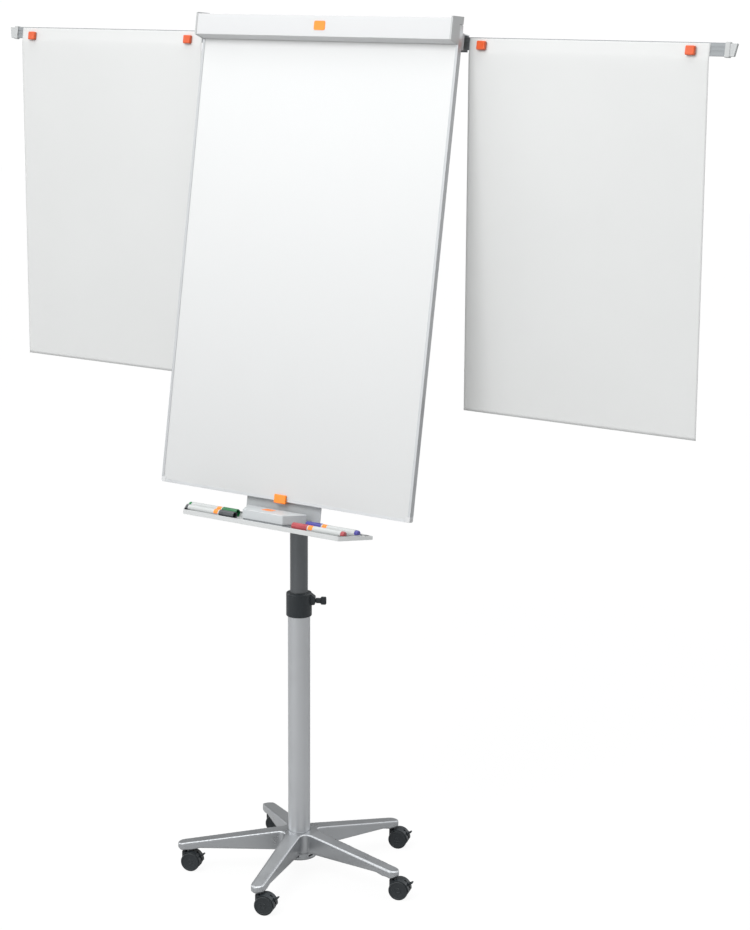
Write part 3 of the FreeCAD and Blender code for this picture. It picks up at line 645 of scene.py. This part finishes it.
def marker(colour, cap_first):
    """A turned pen in four pieces: plug, barrel, plain label and ribbed cap with an open end."""
    node = "marker_" + colour
    low, high = TRAY.span(node)
    radius = (high.z - low.z) / 2
    length = high.x - low.x
    sign = -1 if cap_first else 1
    start = low.x if sign > 0 else high.x
    centre = (start, (low.y + high.y) / 2, (low.z + high.z) / 2)
    cap_at = length - CAP_LENGTH
    barrel_at = 8.5 * MM
    barrel_r = radius - 0.8 * MM
    plug_r = radius - 1.4 * MM

    plug = [(0, 0), (0, plug_r - 3.0 * MM)]
    plug += rounded_corner(2.0 * MM, plug_r - 2.4 * MM, 2.0 * MM, 170, 100)
    plug += [(4.5 * MM, plug_r), (barrel_at + 1.0 * MM, plug_r)]
    barrel = [(barrel_at, plug_r - 0.3 * MM), (barrel_at, barrel_r - 0.7 * MM)]
    barrel += [(barrel_at + 0.7 * MM, barrel_r), (cap_at - 0.2 * MM, barrel_r)]
    barrel += [(cap_at + 1.5 * MM, barrel_r)]
    cap = [(cap_at, barrel_r - 0.3 * MM), (cap_at, radius - 0.3 * MM), (cap_at + 0.4 * MM, radius)]
    for rib in range(5):
        t = cap_at + (3 + 2.2 * rib) * MM
        cap += [(t, radius), (t + 0.4 * MM, radius - 0.35 * MM), (t + 1.0 * MM, radius - 0.35 * MM),
                (t + 1.4 * MM, radius)]
    cap += rounded_corner(length - 0.8 * MM, radius - 0.8 * MM, 0.8 * MM, 90, 0)
    mouth = length - CAP_MOUTH
    cap += [(length - 0.3 * MM, radius - 1.7 * MM), (mouth, radius - 2.2 * MM), (mouth, 0)]

    pieces = {"plug": (plug, node), "barrel": (barrel, "barrel"), "cap": (cap, node)}
    for part, (profile, look) in pieces.items():
        slot = "ink_" + colour if look == node else look
        maker = lathe([(sign * t, r) for t, r in profile], "x", centre, 40)
        piece = add_piece("%s_%s" % (node, part), maker, TRAY, node, slot)
        add_bevel(piece, 0.1 * MM, 35)
        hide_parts(node)

    ends = sorted((sign * (cap_at - 15 * MM), sign * (cap_at - 3 * MM)))
    outside = barrel_r + 0.12 * MM
    maker = curved_patch(ends[0], ends[1], outside, centre, LABEL_MIDDLE, LABEL_HALF, 2.5 * MM)
    label = add_piece(node + "_label", maker, TRAY, node, "orange_plastic")
    thick = label.modifiers.new("thickness", "SOLIDIFY")
    thick.thickness = 0.1 * MM
    thick.offset = 0.0
    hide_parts(node)


marker("black", False)
marker("green", False)
marker("red", True)
marker("blue", True)


# ---- eraser felt ----------------------------------------------------------------------------

def felt_pad():
    """The eraser's pad, with its surface roughened like pressed fibre."""
    piece = remeshed("eraser_felt", "felt_pad", 0.9 * MM)
    for v in piece.data.vertices:
        v.co += v.normal * 0.3 * MM * (noise.noise(v.co * 900) - 0.6)
    for face in piece.data.polygons:
        face.use_smooth = True
    piece.data.materials.clear()
    piece.data.materials.append(LOOKS["felt"])
    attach(piece, "eraser")
    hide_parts("eraser_felt")


felt_pad()


# ---- screws ---------------------------------------------------------------------------------

def screw_head(axes, place, radius, facing):
    """A domed head with a cross recess; facing is +1 or -1 along y."""
    rings, spokes = 12, 40

    def make(shape):
        grid = []
        for i in range(rings + 1):
            r = radius * i / rings
            line = []
            for j in range(spokes):
                a = 2 * math.pi * j / spokes
                u, v = r * math.cos(a), r * math.sin(a)
                height = radius * 0.45 * math.sqrt(max(0.0, 1 - (i / rings) ** 2.4))
                in_recess = min(abs(u), abs(v)) < radius * 0.13 and r < radius * 0.62
                if in_recess:
                    height -= radius * 0.28
                line.append(shape.verts.new((place[0] + u, place[1] + facing * height, place[2] + v)))
            grid.append(line)
        for a, b in zip(grid, grid[1:]):
            for j in range(spokes):
                n = (j + 1) % spokes
                shape.faces.new((a[j], a[n], b[n], b[j]))
        bmesh.ops.remove_doubles(shape, verts=shape.verts, dist=1e-6)
    return make


def screws(name, axes, places, radius, facing, body, slot):
    makers = [screw_head(axes, p, radius, facing) for p in places]
    piece = add_piece(name, several(*makers), axes, body, slot)


low, high = BOARD.span("back_plate")
inset = 12 * MM
plate_back = [(x, high.y, z) for x in (low.x + inset, high.x - inset)
              for z in (high.z - inset, high.z - 100 * MM)]
screws("plate_screws", BOARD, plate_back, 3.6 * MM, 1, "board", "bright_steel")

bracket_pad = 3 * MM
pad_back = high.y + bracket_pad
low, high = BOARD.span("board_bracket")
pad_screws = [(x, pad_back, low.z + up) for x in (low.x + 8 * MM, high.x - 8 * MM)
              for up in (8 * MM, 46 * MM)]
screws("bracket_screws", BOARD, pad_screws, 3.6 * MM, 1, "board", "bright_steel")


# ---- studio ---------------------------------------------------------------------------------

def light_path_mix(paint, seen, lights):
    """One shader for the camera and another for all other rays."""
    path = paint.add("ShaderNodeLightPath")
    mixed = paint.add("ShaderNodeMixShader", Fac=path.outputs["Is Camera Ray"])
    paint.tree.links.new(lights, mixed.inputs[1])
    paint.tree.links.new(seen, mixed.inputs[2])
    return mixed.outputs[0]


def make_floor():
    """A pale floor that runs into the backdrop, with a trace of the shadows; it bounces little light."""
    mesh = bpy.data.meshes.new("floor")
    far = 14
    corners = [(-far, -far, 0), (far, -far, 0), (far, far, 0), (-far, far, 0)]
    mesh.from_pydata(corners, [], [(0, 1, 2, 3)])
    floor = bpy.data.objects.new("floor", mesh)
    bpy.context.scene.collection.objects.link(floor)
    paint = Paint.named("floor")
    cloud = paint.noise(paint.place(WORLD, (1, 1, 1)), 0.8)
    tint = paint.blend(paint.remap(cloud, 0, 1), (0.42, 0.42, 0.42, 1), (0.44, 0.44, 0.44, 1))
    body = paint.add("ShaderNodeBsdfDiffuse", Color=tint).outputs[0]
    pale = paint.add("ShaderNodeBsdfDiffuse", Color=(0.9, 0.9, 0.9, 1)).outputs[0]
    glow = paint.add("ShaderNodeEmission", Strength=1.0).outputs[0]
    seen = paint.add("ShaderNodeMixShader", Fac=0.93)
    paint.tree.links.new(pale, seen.inputs[1])
    paint.tree.links.new(glow, seen.inputs[2])
    mesh.materials.append(paint.end(light_path_mix(paint, seen.outputs[0], body)))


def make_sky():
    """Plain white to the camera. As light it is dim, with a broad soft lobe around each of SKY_LOBES."""
    world = bpy.data.worlds.new("studio")
    bpy.context.scene.world = world
    paint = Paint(world)
    looks = paint.add("ShaderNodeTexCoord").outputs["Generated"]
    total = SKY_BASE
    for direction, start, end, strength in SKY_LOBES.values():
        dot = paint.add("ShaderNodeVectorMath", {"operation": "DOT_PRODUCT"})
        paint.tree.links.new(looks, dot.inputs[0])
        dot.inputs[1].default_value = Vector(direction).normalized()
        lobe = paint.remap(dot.outputs["Value"], 0.0, strength, start, end)
        lobe.node.interpolation_type = "SMOOTHSTEP"
        total = paint.math("ADD", lobe, total)
    path = paint.add("ShaderNodeLightPath")
    share = paint.remap(path.outputs["Is Diffuse Ray"], 1.0, SKY_ON_MATT, 0.0, 1.0)
    total = paint.math("MULTIPLY", total, share)
    light = paint.add("ShaderNodeBackground", Color=(0.985, 0.995, 1.0, 1), Strength=total).outputs[0]
    seen = paint.add("ShaderNodeBackground", Color=(1, 1, 1, 1), Strength=1.02).outputs[0]
    paint.add("ShaderNodeOutputWorld", Surface=light_path_mix(paint, seen, light))


def soft_box(name, place, target, width, height, power):
    """A broad lamp that lights matt surfaces and leaves no mirror image of itself."""
    data = bpy.data.lights.new(name, "AREA")
    data.shape = "RECTANGLE"
    data.size = width
    data.size_y = height
    data.energy = power
    lamp = bpy.data.objects.new(name, data)
    bpy.context.scene.collection.objects.link(lamp)
    lamp.location = place
    lamp.rotation_mode = "QUATERNION"
    lamp.rotation_quaternion = (Vector(target) - Vector(place)).to_track_quat("-Z", "Y")
    lamp.visible_glossy = False


# Each lobe: its direction, the cosines at which it starts and is full, and its strength.
SKY_LOBES = {
    "overhead": ((0, 0, 1), 0.60, 0.95, 2.8),
    "key": ((-0.31, -0.95, 0.25), 0.85, 0.99, 1.7),
    "front": ((0.45, -0.89, 0.05), -0.3, 0.9, 0.34),
    "rim_right": ((0.55, 0.80, 0.25), 0.68, 0.98, 1.3),
    "rim_left": ((-0.97, -0.24, 0.25), 0.84, 0.99, 2.2),
}
SKY_BASE = 0.27
SKY_ON_MATT = 0.6
CAMERA_TURN = math.radians(36.805)
CAMERA_DIP = math.radians(11.802)
CAMERA_PLACE = (3.05102, -4.04194, 2.04215)
CAMERA_LENS = 90.05
CAMERA_SHIFT = (0.0715, -0.0133)


def make_camera():
    data = bpy.data.cameras.new("camera")
    data.sensor_width = 36
    data.sensor_fit = "AUTO"
    data.lens = CAMERA_LENS
    data.shift_x, data.shift_y = CAMERA_SHIFT
    camera = bpy.data.objects.new("camera", data)
    bpy.context.scene.collection.objects.link(camera)
    ahead = Vector((
        -math.sin(CAMERA_TURN) * math.cos(CAMERA_DIP),
        math.cos(CAMERA_TURN) * math.cos(CAMERA_DIP),
        -math.sin(CAMERA_DIP),
    ))
    camera.location = CAMERA_PLACE
    camera.rotation_mode = "QUATERNION"
    camera.rotation_quaternion = ahead.to_track_quat("-Z", "Y")
    bpy.context.scene.camera = camera


make_floor()
make_sky()
soft_box("key", (0.1, -2.8, 3.6), (0, 0, 1.3), 2.4, 1.6, 97)
make_camera()
bpy.context.scene.view_settings.view_transform = "Standard"
